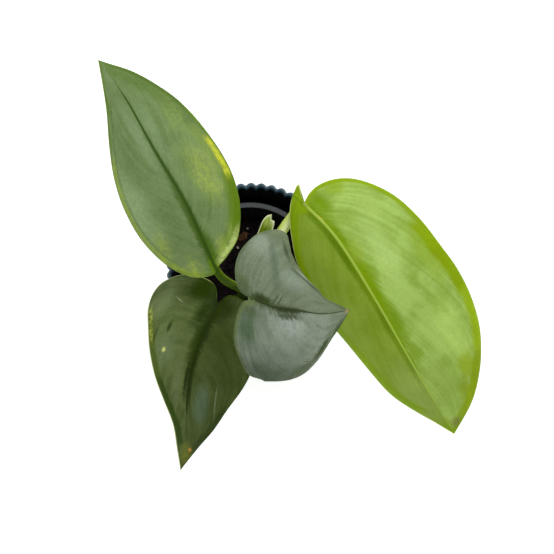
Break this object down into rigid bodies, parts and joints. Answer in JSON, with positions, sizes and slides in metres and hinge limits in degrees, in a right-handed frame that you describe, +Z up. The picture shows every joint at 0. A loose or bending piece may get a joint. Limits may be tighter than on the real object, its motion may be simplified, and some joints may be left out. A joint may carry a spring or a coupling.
{
  "type": "potted plant",
  "caption": "Young scindapsus with broad pointed silver-green leaves on slim stalks, growing in a nursery pot set inside a ribbed pot with a scalloped rim.",
  "frame": {"origin": "centre of the ribbed pot's flat underside, on the face it stands on", "axes": "+Z up along the pot's axis; looking straight down, +Y is towards the tip of the long upper-left leaf's side and +X is towards the lime leaf"},
  "size_m": [0.1598, 0.17, 0.1281],
  "materials": {
    "ribbed_pot": "dark blue-green, satin sheen",
    "nursery_plastic": "black, slightly worn",
    "soil": "dark damp peat, rough",
    "stem": "green, satin",
    "silver_leaf": "silvery green, satin",
    "dark_leaf": "dark green with a silver haze, satin",
    "grey_leaf": "silver-grey, satin",
    "lime_leaf": "lime green with a silver haze, satin",
    "stalk": "green, satin",
    "shoot": "pale green, satin"
  },
  "bodies": {
    "root": {"outer_pot": "ribbed_pot", "nursery_pot": "nursery_plastic", "soil": "soil", "stem": "stem", "blade_upper_left": "silver_leaf", "blade_lower_left": "dark_leaf", "blade_middle": "grey_leaf", "blade_right": "lime_leaf", "stalk_upper_left": "stalk", "stalk_lower_left": "stalk", "stalk_middle": "stalk", "stalk_right": "stalk", "new_shoot": "shoot"}
  },
  "joints": []
}
